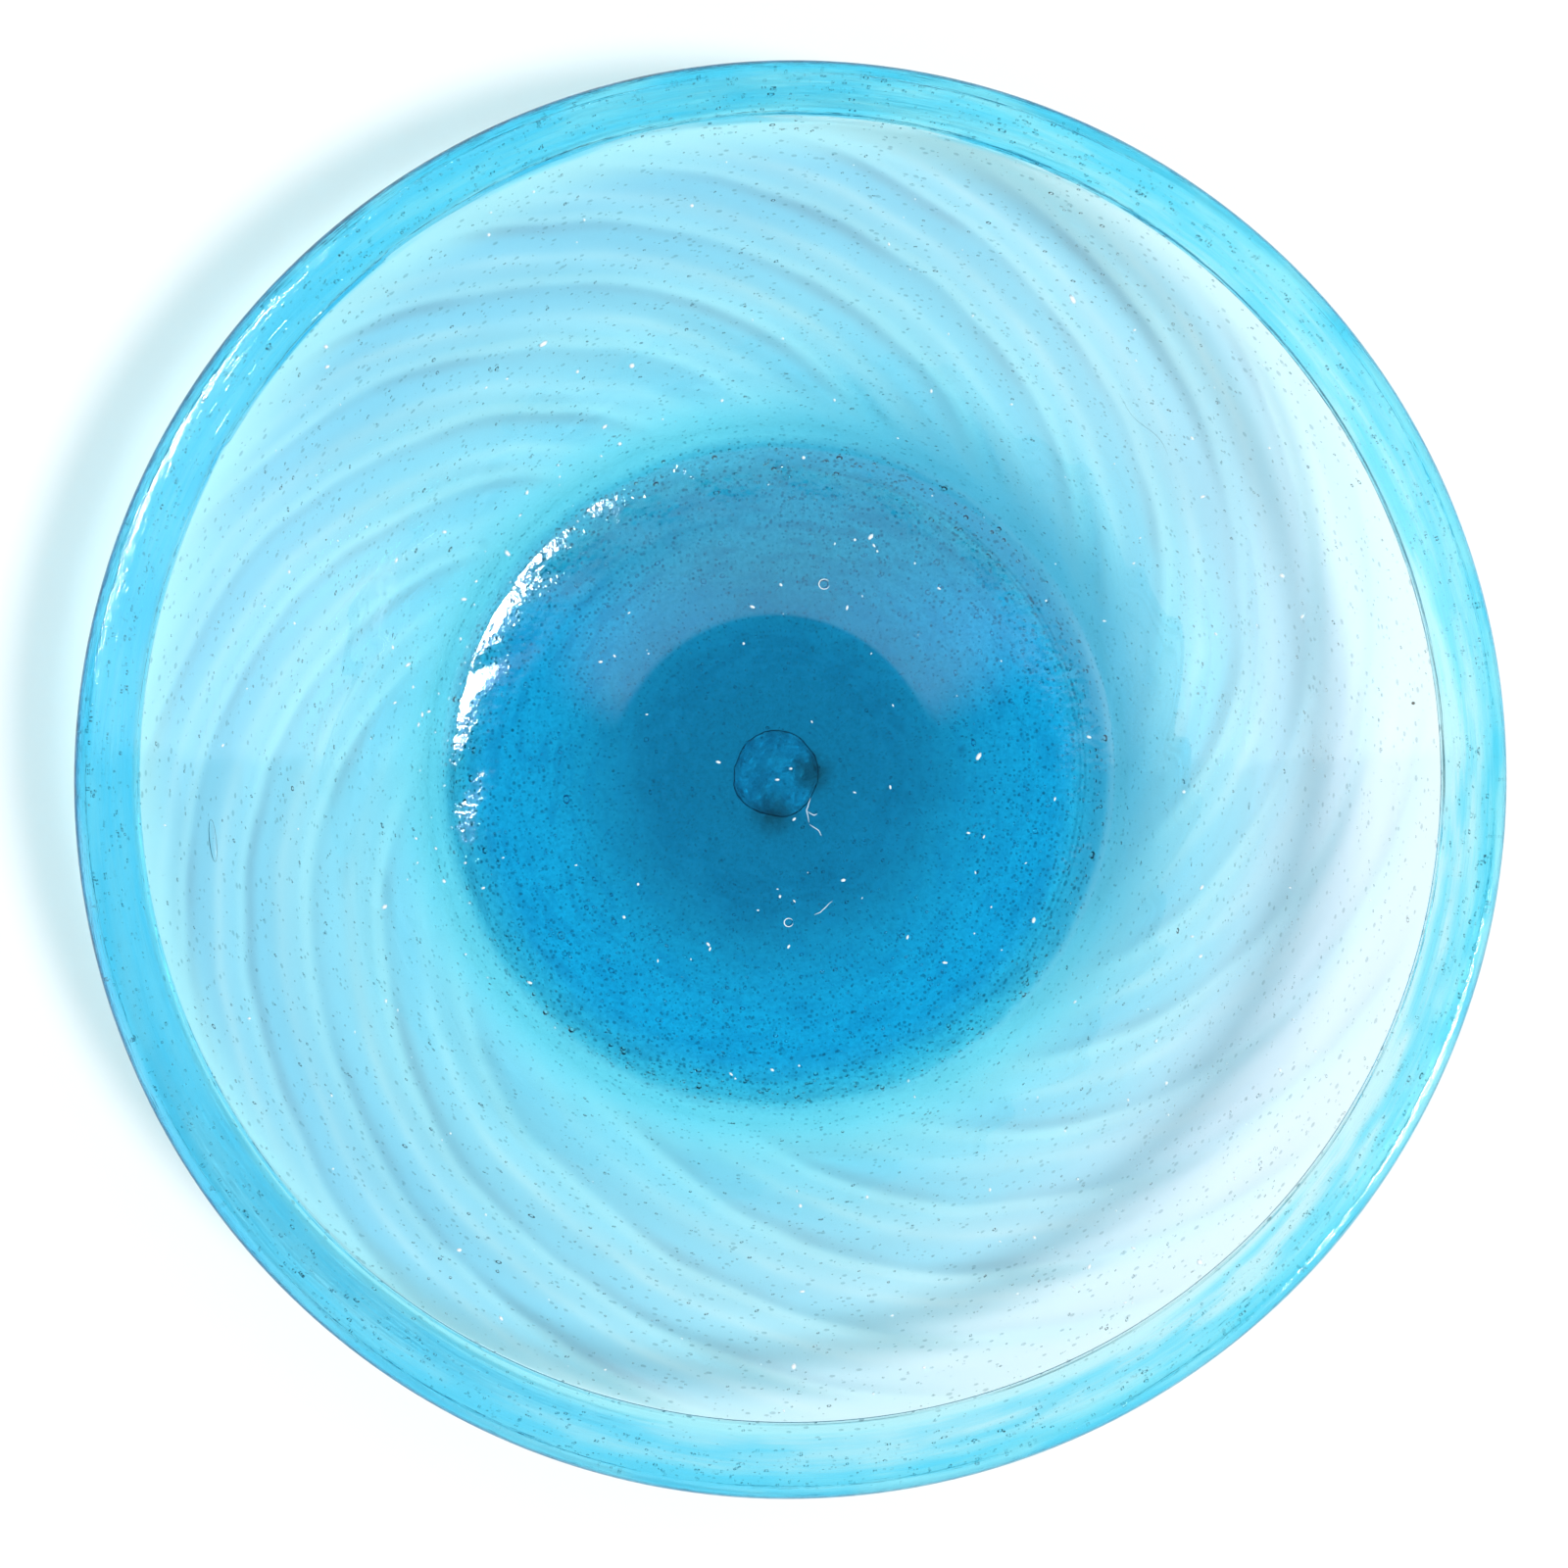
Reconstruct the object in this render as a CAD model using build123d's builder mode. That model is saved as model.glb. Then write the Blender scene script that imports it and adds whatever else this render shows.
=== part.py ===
from build123d import *

import os
from math import cos, exp, radians, sin

# Hand-blown swirl-optic bowl, in millimetres. +Z is up, and the origin is the centre of
# the circle that the bowl stands on. The bowl is one body of glass, and its pieces are the
# four zones of it: base, wall, folded lip and pontil scar. Each is turned about the Z axis.

# --- driving dimensions -----------------------------------------------------------------

rim_radius = 150.0          # outermost edge of the folded lip
floor_height = 8.0          # level middle of the inside floor above the table
level_radius = 36.0         # edge of that level middle, where the floor begins to rise
cone_radius = 44.0          # where it has its full slope
cone_rise = 0.41            # how far the floor has risen there
cone_end_radius = 66.0      # where the slope starts to grow towards the heel
cone_end_rise = 2.22        # how far the floor has risen there
dish_radius = 72.0          # where the floor ends and the heel begins, inside
dish_rise = 2.89            # how far the floor has risen there
dish_slope = 8.0            # and how steep it is there, degrees
inner_heel_radius = 6.0     # inside corner between floor and wall
foot_slope = 50.0           # steepness of the wall just above the heel, degrees
lip_slope = 28.0            # steepness of the wall at the lip, degrees

ring_outer_radius = 64.0    # outer edge of the flat ring that the bowl stands on
heel_edge_radius = 4.0      # rounding of the heel, just outside the ring
heel_edge_slope = 30.0      # steepness of the heel above that rounding, degrees
ring_inner_radius = 56.0    # inner edge of that ring, where the kick-up begins
kick_up_height = 1.4        # hollow under the base, at its middle

heel_thickness = 3.0        # wall just above the heel
wall_thickness = 1.4        # wall where it is blown thinnest
taper_length = 8.0          # how quickly the wall thins going outwards

fold_width = 12.0           # plan width of the folded band
fold_thickness = 3.5        # the layer that is turned under
fold_edge_bulge = 1.0       # roundness of the folded layer's cut edge

scar_radius = 10.0          # where the pontil rod was cracked off
scar_edge = 1.0             # how far the scar's edge stands down from the kick-up
scar_hollow = 0.5           # depth of the dish inside that edge

parts_folder = "parts"


# --- the line of the wall ---------------------------------------------------------------

bead_radius = (wall_thickness + fold_thickness) / 2
wall_end_radius = rim_radius - bead_radius * (1 + sin(radians(lip_slope)))
heel_centre_radius = dish_radius - inner_heel_radius * sin(radians(dish_slope))
heel_centre_height = floor_height + dish_rise + inner_heel_radius * cos(radians(dish_slope))


def heel_point(slope):
    """Radius and height of the inside corner of the heel, where it has this slope."""
    return (
        heel_centre_radius + inner_heel_radius * sin(radians(slope)),
        heel_centre_height - inner_heel_radius * cos(radians(slope)),
    )


heel_top_radius, heel_top_height = heel_point(foot_slope)
flare_radius = (wall_end_radius - heel_top_radius) / (
    sin(radians(foot_slope)) - sin(radians(lip_slope))
)


def inner_point(slope):
    """Radius and height of the inside face of the wall, where it has this slope."""
    across = sin(radians(foot_slope)) - sin(radians(slope))
    up = cos(radians(slope)) - cos(radians(foot_slope))
    return heel_top_radius + flare_radius * across, heel_top_height + flare_radius * up


def thickness(slope):
    """Thickness of the wall: heavy at the heel, thin everywhere else."""
    beyond_heel = inner_point(slope)[0] - heel_top_radius
    return wall_thickness + (heel_thickness - wall_thickness) * exp(-beyond_heel / taper_length)


def outer_point(slope, layer=0.0):
    """Point on the outside of the wall, or of a layer of this thickness laid over it."""
    radius, height = inner_point(slope)
    depth = thickness(slope) + layer
    return radius + depth * sin(radians(slope)), height - depth * cos(radians(slope))


def outer_tangent(slope):
    """Direction of the outside face, going outwards."""
    return Vector(*outer_point(slope - 0.5)) - Vector(*outer_point(slope + 0.5))


def slopes(start, end, count):
    """Evenly spaced slopes from start to end."""
    return [start + (end - start) * i / (count - 1) for i in range(count)]


def outside_line(start, end, count, layer=0.0):
    """Smooth line along the outside of the wall, or of a layer over it, between two slopes."""
    points = [outer_point(slope, layer) for slope in slopes(start, end, count)]
    ends = [outer_tangent(start).normalized(), outer_tangent(end).normalized()]
    return Spline(*points, tangents=ends)


def heel_edge_point(slope):
    """Point on the rounding of the heel's outside, where it has this slope."""
    across = heel_edge_radius * sin(radians(slope))
    up = heel_edge_radius * (1 - cos(radians(slope)))
    return ring_outer_radius + across, up


fold_slope = next(
    slope
    for slope in slopes(foot_slope, lip_slope, 321)
    if outer_point(slope)[0] >= rim_radius - fold_width
)


# --- thick base, with the flat ring that it stands on and the kick-up inside it -----------

with BuildPart() as base_disc:
    with BuildSketch(Plane.XZ):
        with BuildLine():
            floor_middle = (0, floor_height)
            level_edge = (level_radius, floor_height)
            cone_start = (cone_radius, floor_height + cone_rise)
            cone_end = (cone_end_radius, floor_height + cone_end_rise)
            ring_outer = (ring_outer_radius, 0)
            ring_inner = (ring_inner_radius, 0)
            scar_seat = (scar_radius, kick_up_height)
            kick_top = (0, kick_up_height)
            dish_tangent = (cos(radians(dish_slope)), sin(radians(dish_slope)))
            heel_edge_tangent = (cos(radians(heel_edge_slope)), sin(radians(heel_edge_slope)))
            Line(floor_middle, level_edge)
            Spline(
                level_edge,
                cone_start,
                cone_end,
                heel_point(dish_slope),
                tangents=[(1, 0), dish_tangent],
            )
            ThreePointArc(
                heel_point(dish_slope),
                heel_point((dish_slope + foot_slope) / 2),
                heel_point(foot_slope),
            )
            Line(inner_point(foot_slope), outer_point(foot_slope))
            Spline(
                heel_edge_point(heel_edge_slope),
                outer_point(foot_slope),
                tangents=[heel_edge_tangent, outer_tangent(foot_slope).normalized()],
            )
            ThreePointArc(
                ring_outer,
                heel_edge_point(heel_edge_slope / 2),
                heel_edge_point(heel_edge_slope),
            )
            Line(ring_outer, ring_inner)
            Spline(ring_inner, scar_seat, tangents=[(-1, 0), (-1, 0)])
            Line(scar_seat, kick_top)
            Line(kick_top, floor_middle)
        make_face()
    revolve(axis=Axis.Z)
base_disc.part.label = "base_disc"


# --- blown wall, which flares from the heel to the lip -----------------------------------

with BuildPart() as swirl_wall:
    with BuildSketch(Plane.XZ):
        with BuildLine():
            middle_slope = (foot_slope + lip_slope) / 2
            ThreePointArc(inner_point(foot_slope), inner_point(middle_slope), inner_point(lip_slope))
            Line(inner_point(lip_slope), outer_point(lip_slope))
            outside_line(fold_slope, lip_slope, 3)
            outside_line(foot_slope, fold_slope, 8)
            Line(outer_point(foot_slope), inner_point(foot_slope))
        make_face()
    revolve(axis=Axis.Z)
swirl_wall.part.label = "swirl_wall"


# --- folded lip, a rounded bead and the layer turned back under the wall -------------------

with BuildPart() as rim_fold:
    with BuildSketch(Plane.XZ):
        with BuildLine():
            wall_under_fold = outer_point(fold_slope)
            fold_under = outer_point(fold_slope, fold_thickness)
            cut_edge = (
                (wall_under_fold[0] + fold_under[0]) / 2 - fold_edge_bulge,
                (wall_under_fold[1] + fold_under[1]) / 2 - fold_edge_bulge / 2,
            )
            lip_top = inner_point(lip_slope)
            lip_under = outer_point(lip_slope, fold_thickness)
            bead_nose = (rim_radius, (lip_top[1] + lip_under[1]) / 2)
            outside_line(fold_slope, lip_slope, 3)
            Line(outer_point(lip_slope), lip_top)
            ThreePointArc(lip_top, bead_nose, lip_under)
            outside_line(fold_slope, lip_slope, 3, fold_thickness)
            ThreePointArc(wall_under_fold, cut_edge, fold_under)
        make_face()
    revolve(axis=Axis.Z)
rim_fold.part.label = "rim_fold"


# --- pontil scar, the rough mark left under the base where the rod was cracked off ---------

with BuildPart() as pontil_scar:
    with BuildSketch(Plane.XZ):
        with BuildLine():
            scar_foot = (scar_radius * 0.8, kick_up_height - scar_edge)
            scar_middle = (0, kick_up_height - scar_edge + scar_hollow)
            Line(kick_top, scar_seat)
            ThreePointArc(
                scar_seat,
                (scar_radius * 0.94, kick_up_height - scar_edge * 0.8),
                scar_foot,
            )
            Spline(scar_middle, scar_foot, tangents=[(1, 0), (1, -0.4)])
            Line(scar_middle, kick_top)
        make_face()
    revolve(axis=Axis.Z)
pontil_scar.part.label = "pontil_scar"


# --- one file for each piece --------------------------------------------------------------

os.makedirs(parts_folder, exist_ok=True)
for piece in (base_disc, swirl_wall, rim_fold, pontil_scar):
    export_step(piece.part, f"{parts_folder}/{piece.part.label}.step")
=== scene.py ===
import random
from math import asin, atan, atan2, cos, degrees, exp, hypot, log, pi, radians, sin

import bmesh
import bpy
from mathutils import Matrix, Vector, noise


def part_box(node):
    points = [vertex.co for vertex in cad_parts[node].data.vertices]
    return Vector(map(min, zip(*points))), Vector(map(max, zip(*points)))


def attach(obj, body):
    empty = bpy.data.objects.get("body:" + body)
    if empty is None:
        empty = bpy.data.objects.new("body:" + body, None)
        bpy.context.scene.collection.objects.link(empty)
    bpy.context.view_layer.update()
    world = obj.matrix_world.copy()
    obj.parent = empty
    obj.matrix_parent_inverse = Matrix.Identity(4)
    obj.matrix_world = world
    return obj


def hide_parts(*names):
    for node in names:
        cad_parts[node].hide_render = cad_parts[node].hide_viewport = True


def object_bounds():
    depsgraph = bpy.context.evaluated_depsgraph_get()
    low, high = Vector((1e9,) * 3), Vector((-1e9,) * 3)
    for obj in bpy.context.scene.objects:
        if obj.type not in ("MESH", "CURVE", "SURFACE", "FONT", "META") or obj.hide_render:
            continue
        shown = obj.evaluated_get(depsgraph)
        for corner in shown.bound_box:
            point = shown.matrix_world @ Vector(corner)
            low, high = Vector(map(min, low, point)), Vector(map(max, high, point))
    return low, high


bl_info = {
    "name": "Swirl Glass Bowl",
    "version": (1, 0, 0),
    "blender": (4, 5, 0),
    "location": "3D View > Sidebar > Glass Bowl",
    "description": "Builds a hand-blown swirl-ribbed glass bowl with a folded rim",
    "category": "Object",
}

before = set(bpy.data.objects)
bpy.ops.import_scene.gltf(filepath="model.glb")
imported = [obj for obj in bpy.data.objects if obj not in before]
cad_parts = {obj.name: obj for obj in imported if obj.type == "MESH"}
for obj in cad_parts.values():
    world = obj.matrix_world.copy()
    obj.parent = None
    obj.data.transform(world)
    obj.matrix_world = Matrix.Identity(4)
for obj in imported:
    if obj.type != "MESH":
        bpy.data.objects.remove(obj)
CAD_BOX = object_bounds()
RIM_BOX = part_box("rim_fold")
SCAR_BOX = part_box("pontil_scar")
MM = 0.001


# --- shader nodes written as expressions -------------------------------------------------

class Value:
    """A node socket, or a number, that sums and products can be written with."""

    def __init__(self, shader, socket):
        self.shader = shader
        self.socket = socket

    def _math(self, operation, *values):
        node = self.shader.node("ShaderNodeMath", {"operation": operation}, dict(enumerate(values)))
        return node[0]

    def __add__(self, other):
        return self._math("ADD", self, other)

    __radd__ = __add__

    def __sub__(self, other):
        return self._math("SUBTRACT", self, other)

    def __rsub__(self, other):
        return self._math("SUBTRACT", other, self)

    def __mul__(self, other):
        return self._math("MULTIPLY", self, other)

    __rmul__ = __mul__

    def __pow__(self, other):
        return self._math("POWER", self, other)

    def cosine(self):
        return self._math("COSINE", self)

    def sine(self):
        return self._math("SINE", self)

    def bearing(self, other):
        """Angle of the direction whose y is this and whose x is other."""
        return self._math("ARCTAN2", self, other)

    def highest(self, other):
        return self._math("MAXIMUM", self, other)

    def ramp(self, low, high):
        """0 at low, 1 at high and smooth between."""
        node = self.shader.node(
            "ShaderNodeMapRange",
            {"interpolation_type": "SMOOTHSTEP"},
            {"Value": self, "From Min": low, "From Max": high},
        )
        return node["Result"]


class Shader:
    """The node tree of a material or a world."""

    def __init__(self, owner):
        owner.use_nodes = True
        self.tree = owner.node_tree
        self.tree.nodes.clear()

    def node(self, kind, settings=None, inputs=None):
        """Add a node: its settings first, then the values or links of its sockets."""
        made = self.tree.nodes.new(kind)
        for name, value in (settings or {}).items():
            setattr(made, name, value)
        for key, value in (inputs or {}).items():
            if isinstance(value, Value):
                self.tree.links.new(value.socket, made.inputs[key])
            else:
                made.inputs[key].default_value = value
        return Outputs(self, made)

    def noise(self, vector, scale, detail=2.0):
        """Noise from 0 to 1, finer with a larger scale."""
        node = self.node(
            "ShaderNodeTexNoise", None, {"Vector": vector, "Scale": scale, "Detail": detail},
        )
        return node["Fac"]

    def mix_colour(self, factor, first, second):
        """Colour between two colours."""
        node = self.node("ShaderNodeMix", {"data_type": "RGBA"}, {0: factor, 6: first, 7: second})
        return node[2]

    def product(self, first, second):
        """Colour that passes through both colours."""
        node = self.node(
            "ShaderNodeMix", {"data_type": "RGBA", "blend_type": "MULTIPLY"},
            {0: 1.0, 6: first, 7: second},
        )
        return node[2]


class Outputs:
    """The output sockets of a node, as values."""

    def __init__(self, shader, made):
        self.shader = shader
        self.made = made

    def __getitem__(self, key):
        return Value(self.shader, self.made.outputs[key])


def new_material(name):
    material = bpy.data.materials.new(name)
    return material, Shader(material)


# --- settings that a user would change --------------------------------------------------

def length(name, description, default):
    return bpy.props.FloatProperty(
        name=name, description=description, default=default, unit="LENGTH", subtype="DISTANCE",
        precision=5,
    )


def angle(name, description, default):
    return bpy.props.FloatProperty(
        name=name, description=description, default=radians(default), unit="ROTATION",
        subtype="ANGLE",
    )


class BowlShapeSettings(bpy.types.PropertyGroup):
    floor_height: length("Floor Height", "Level middle of the inside floor", 8.0 * MM)
    wall_thickness: length("Wall", "Thickness of the wall, on average", 1.4 * MM)
    heel_thickness: length("Heel", "Thickness of the wall just above the heel", 3.0 * MM)
    fold_width: length("Fold Width", "Width of the folded band, on average", 12.1 * MM)
    fold_thickness: length("Fold Layer", "Thickness of the layer turned under", 3.5 * MM)
    rib_count: bpy.props.IntProperty(name="Ribs", description="Optic ribs round the wall", default=17)
    rib_depth: length("Rib Depth", "Height of a rib on the outside of the wall", 0.45 * MM)
    rib_twist: angle("Rib Twist", "Turn of a rib from the heel to the fold", 93)
    turns: bpy.props.IntProperty(name="Steps", description="Steps of the spin", default=288)


class GlassSettings(bpy.types.PropertyGroup):
    tint: bpy.props.FloatVectorProperty(
        name="Tint", description="Colour of white light after 10 mm of this glass",
        subtype="COLOR", default=(0.0672, 0.670, 0.887), min=0.0, max=1.0,
    )
    refraction: bpy.props.FloatProperty(
        name="Refraction", description="Index of refraction", default=1.5,
    )


class SeedSettings(bpy.types.PropertyGroup):
    wall_count: bpy.props.IntProperty(name="Wall Seeds", description="Bubbles in the wall", default=5500)
    fold_count: bpy.props.IntProperty(name="Fold Seeds", description="Bubbles in the fold", default=1800)
    base_count: bpy.props.IntProperty(name="Base Seeds", description="Bubbles in the base", default=4200)
    width: length("Seed Width", "Width of a common seed bubble", 0.30 * MM)


class StageSettings(bpy.types.PropertyGroup):
    floor_colour: bpy.props.FloatVectorProperty(
        name="Floor", description="Colour of the table", subtype="COLOR",
        default=(0.86, 0.86, 0.86), min=0.0, max=1.0,
    )
    room: bpy.props.FloatProperty(name="Room", description="Brightness of the room", default=0.80)
    lamp: bpy.props.FloatProperty(name="Lamp", description="Brightness of the lamp", default=1.6)
    lamp_spread: angle("Lamp Spread", "How wide the lamp looks from the table", 8)
    lamp_lean: angle("Lamp Lean", "Angle of the lamp from straight overhead", 19)
    lamp_bearing: angle("Lamp Bearing", "Side that the lamp stands on", -26)
    camera_height: length("Camera Height", "Height of the camera above the rim", 0.85)
    camera_lean: angle("Camera Lean", "Angle of the camera from straight overhead", 5)
    camera_bearing: angle("Camera Bearing", "Side that the camera leans to", 158)


# --- the line of the glass --------------------------------------------------------------

FOOT_SLOPE = radians(50)
LIP_SLOPE = radians(28)
DISH_RADIUS = 72 * MM
DISH_SLOPE = radians(8)
FLOOR_SLOPES = ((31 * MM, 0.0), (37 * MM, 0.075), (66 * MM, 0.075), (72 * MM, 0.1405))
INNER_HEEL = 6 * MM
RING_OUTER = 64 * MM
RING_INNER = 56 * MM
HEEL_EDGE = 4 * MM
HEEL_EDGE_SLOPE = radians(30)
SCAR_RADIUS = SCAR_BOX[1][0]
KICK_UP = SCAR_BOX[1][2]
TAPER = 8 * MM
RIM_RADIUS = RIM_BOX[1][0]

# The ribs start at one radius and run out over a length in plan. Their crowding round the
# bowl is a list of (waves in a turn, height, lead), and they curl more towards the fold.
RIB_START = 75 * MM
RIB_LENGTH = 63 * MM
RIB_CROWDING = ((1, 0.172, -1.383), (2, 0.109, 1.853))
RIB_CURL = 0.27
RIB_LEAD = 0.64
HEAVY_RIBS = 1.1 * MM
INSIDE_RIBS = 0.15 * MM
INSIDE_RIPPLE = 0.035 * MM
WANDER = 0.08 * MM
LIGHT_FOLD = 2.3 * MM
RIM_WOBBLE = 0.25 * MM

# Bubbles, the highlight rims over two of them and stones are (x, y, half-width) in metres, and scratches
# are corners in millimetres.
FLOOR_BUBBLES = ((0.0104, 0.0425, 0.0011), (0.0025, -0.0330, 0.0010))
BURST_RIM_HIGHLIGHTS = ((0.0104, 0.0425, 0.0012), (0.0025, -0.0330, 0.0010))
STONES = ((0.131, 0.0165, 0.00042), (0.043, -0.136, 0.00030), (-0.0985, 0.051, 0.0002))
SCRATCHES = (
    ((7.4, -5.2), (6.5, -7.8), (7.2, -11.1)),
    ((7.2, -11.1), (9.2, -12.4), (9.9, -13.8)),
    ((6.7, -8.2), (8.2, -9.1), (9.0, -8.6)),
    ((8.3, -31.4), (10.5, -30.0), (12.5, -28.0)),
)

HALF_VIEW = 162.9 * MM
AIM_OFFSET = -3.6 * MM
CLEAR = (1.0, 1.0, 1.0, 1)


def ease(t):
    """0 below 0, 1 above 1 and smooth between."""
    t = min(1.0, max(0.0, t))
    return t * t * (3 - 2 * t)


def between(a, b, t):
    return a + (b - a) * t


class Line:
    """The section of the bowl: radius and height of its inside and outside faces."""

    def __init__(self, shape):
        self.shape = shape
        wall = shape.wall_thickness
        bead = (wall + shape.fold_thickness) / 2
        self.wall_end = RIM_RADIUS - bead * (1 + sin(LIP_SLOPE))
        self.heel_r = DISH_RADIUS - INNER_HEEL * sin(DISH_SLOPE)
        self.heel_z = self.floor(DISH_RADIUS) + INNER_HEEL * cos(DISH_SLOPE)
        self.top_r, self.top_z = self.heel(FOOT_SLOPE)
        self.flare = (self.wall_end - self.top_r) / (sin(FOOT_SLOPE) - sin(LIP_SLOPE))

    def heel(self, slope):
        """Inside corner of the heel, at this slope."""
        return self.heel_r + INNER_HEEL * sin(slope), self.heel_z - INNER_HEEL * cos(slope)

    def inner(self, slope):
        """Inside face of the wall, at this slope."""
        return (
            self.top_r + self.flare * (sin(FOOT_SLOPE) - sin(slope)),
            self.top_z + self.flare * (cos(slope) - cos(FOOT_SLOPE)),
        )

    def thickness(self, slope):
        """Wall thickness at this slope."""
        shape = self.shape
        beyond = self.inner(slope)[0] - self.top_r
        return shape.wall_thickness + (shape.heel_thickness - shape.wall_thickness) * exp(
            -beyond / TAPER
        )

    def outer(self, slope, layer=0.0):
        """Outside face of the wall, or of a layer laid over it, at this slope."""
        r, z = self.inner(slope)
        depth = self.thickness(slope) + layer
        return r + depth * sin(slope), z - depth * cos(slope)

    def slope_at(self, radius):
        """Slope of the wall at this radius."""
        lean = sin(FOOT_SLOPE) - (radius - self.top_r) / self.flare
        return asin(min(sin(FOOT_SLOPE), max(sin(LIP_SLOPE), lean)))

    def fold_slope(self):
        """Slope of the wall where the fold ends."""
        edge = RIM_RADIUS - self.shape.fold_width
        steps = [between(FOOT_SLOPE, LIP_SLOPE, i / 600) for i in range(601)]
        return next(slope for slope in steps if self.outer(slope)[0] >= edge)

    def floor(self, radius):
        """Height of the inside floor at this radius: level, then rising to the heel."""
        height = self.shape.floor_height
        for (r0, slope0), (r1, slope1) in zip(FLOOR_SLOPES, FLOOR_SLOPES[1:]):
            run = min(max(radius - r0, 0.0), r1 - r0)
            height += run * (slope0 + (slope1 - slope0) * run / (r1 - r0) / 2)
        return height

    def underside(self, radius):
        """Height of the hollow under the base at this radius."""
        return KICK_UP * ease((RING_INNER - radius) / (RING_INNER - SCAR_RADIUS))


def bowl_section(line):
    """Points of the section with what each may do: (radius, height, side)."""
    fold = line.shape.fold_thickness
    points = [(DISH_RADIUS * i / 36, line.floor(DISH_RADIUS * i / 36), "floor") for i in range(36)]
    for i in range(14):
        points.append((*line.heel(between(DISH_SLOPE, FOOT_SLOPE, i / 14)), "floor"))
    for i in range(61):
        points.append((*line.inner(between(FOOT_SLOPE, LIP_SLOPE, i / 60)), "inner"))
    top = Vector(line.inner(LIP_SLOPE))
    under = Vector(line.outer(LIP_SLOPE, fold))
    middle = (top + under) / 2
    bead = (top - under).length / 2
    start = atan2(top[1] - middle[1], top[0] - middle[0])
    for i in range(1, 14):
        turn = start - pi * i / 14
        points.append((middle[0] + bead * cos(turn), middle[1] + bead * sin(turn), "bead"))
    fold_slope = line.fold_slope()
    for i in range(14):
        points.append((*line.outer(between(LIP_SLOPE, fold_slope, i / 14), fold), "fold"))
    lower = Vector(line.outer(fold_slope, fold))
    upper = Vector(line.outer(fold_slope))
    for i in range(9):
        t = i / 8
        bulge = sin(pi * t) ** 0.6
        edge = lower.lerp(upper, t) - Vector((1.0, 0.5)) * bulge * MM
        points.append((*edge, "edge"))
    for i in range(1, 61):
        points.append((*line.outer(between(fold_slope, FOOT_SLOPE, i / 60)), "outer"))
    a = Vector(line.outer(FOOT_SLOPE))
    b = Vector((
        RING_OUTER + HEEL_EDGE * sin(HEEL_EDGE_SLOPE),
        HEEL_EDGE * (1 - cos(HEEL_EDGE_SLOPE)),
    ))
    reach = (a - b).length / 3
    a2 = a - reach * Vector((cos(FOOT_SLOPE), sin(FOOT_SLOPE)))
    b2 = b + reach * Vector((cos(HEEL_EDGE_SLOPE), sin(HEEL_EDGE_SLOPE)))
    for i in range(1, 10):
        t = i / 10
        curve = (
            (1 - t) ** 3 * a + 3 * (1 - t) ** 2 * t * a2 + 3 * (1 - t) * t * t * b2 + t ** 3 * b
        )
        points.append((*curve, "heel"))
    for i in range(7):
        slope = HEEL_EDGE_SLOPE * (1 - i / 6)
        points.append((
            RING_OUTER + HEEL_EDGE * sin(slope), HEEL_EDGE * (1 - cos(slope)), "heel",
        ))
    for i in range(1, 27):
        r = RING_OUTER * (1 - i / 26)
        points.append((r, line.underside(r), "under"))
    return points


def fold_edge_shift(turn):
    """How far the cut edge of the fold lies outside its mean circle, at this bearing."""
    wander = 1.85 * sin(turn) + 0.25 * cos(turn) - 0.35 * sin(2 * turn) - 0.4 * sin(3 * turn)
    hooks = 0.0
    for at, side in ((149.5, 1), (128.5, -1)):
        away = (degrees(turn) - at + 180) % 360 - 180
        hooks += 0.9 * exp(-abs(away) / 2.2) * (1 if away * side > 0 else 0)
    return (wander + hooks) * MM


def rib_wave(shape, radius, turn):
    """Height of the optic ribs, from 0 to 1, at this radius and bearing."""
    out = (radius - RIB_START) / RIB_LENGTH
    spread = turn
    for waves, height, lead in RIB_CROWDING:
        spread += height * sin(waves * turn + lead)
    twist = shape.rib_twist * out * (1 - RIB_CURL + RIB_CURL * out)
    phase = shape.rib_count * (spread - twist) + RIB_LEAD
    return (0.5 + 0.5 * cos(phase + 0.6 * sin(phase))) ** 1.5


def around(turn, low, high, soft):
    """1 where the bearing lies between low and high degrees, 0 outside and smooth between."""
    away = (degrees(turn) - (low + high) / 2 + 180) % 360 - 180
    return ease(((high - low) / 2 - abs(away)) / soft + 0.5)


def band(radius, start, rise, end, fall):
    """1 between two radii, smooth over the rise inside and over the fall outside."""
    return ease((radius - start) / rise) * ease((end - radius) / fall)


def lobe(turn, bearing, sharpness):
    """1 at this bearing, falling to 0 on the opposite side."""
    return (0.5 + 0.5 * cos(turn - bearing)) ** sharpness


def outside_growth(settings, r, turn):
    """How far the outside of the wall stands out for its ribs and its heavy side."""
    ribs = settings.rib_depth * band(r, 0.081, 0.016, 0.1385, 0.009)
    heavy = HEAVY_RIBS * around(turn, 18, 84, 18) * band(r, 0.0775, 0.005, 0.098, 0.015)
    return (ribs + heavy) * rib_wave(settings, r, turn)


def inside_growth(settings, r, turn):
    """How far the inside stands in for the faint ribs and the ripple left by the mould."""
    inside = ease((r - 0.060) / 0.010) * (1 - 0.6 * ease((r - 0.09) / 0.02))
    ripple = noise.noise(Vector((cos(turn) * 16, sin(turn) * 16, r * 120)))
    ribs = INSIDE_RIBS * ease((0.138 - r) / 0.01) * rib_wave(settings, r, turn + 0.12)
    return (INSIDE_RIPPLE * ripple - ribs) * inside


def wall_wander(r, turn):
    """Slow hand-made wander of the wall."""
    place = Vector((cos(turn) * 2.2, sin(turn) * 2.2, r * 30))
    return WANDER * noise.noise(place) * band(r, 0.080, 0.02, 0.1480, 0.006)


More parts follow.
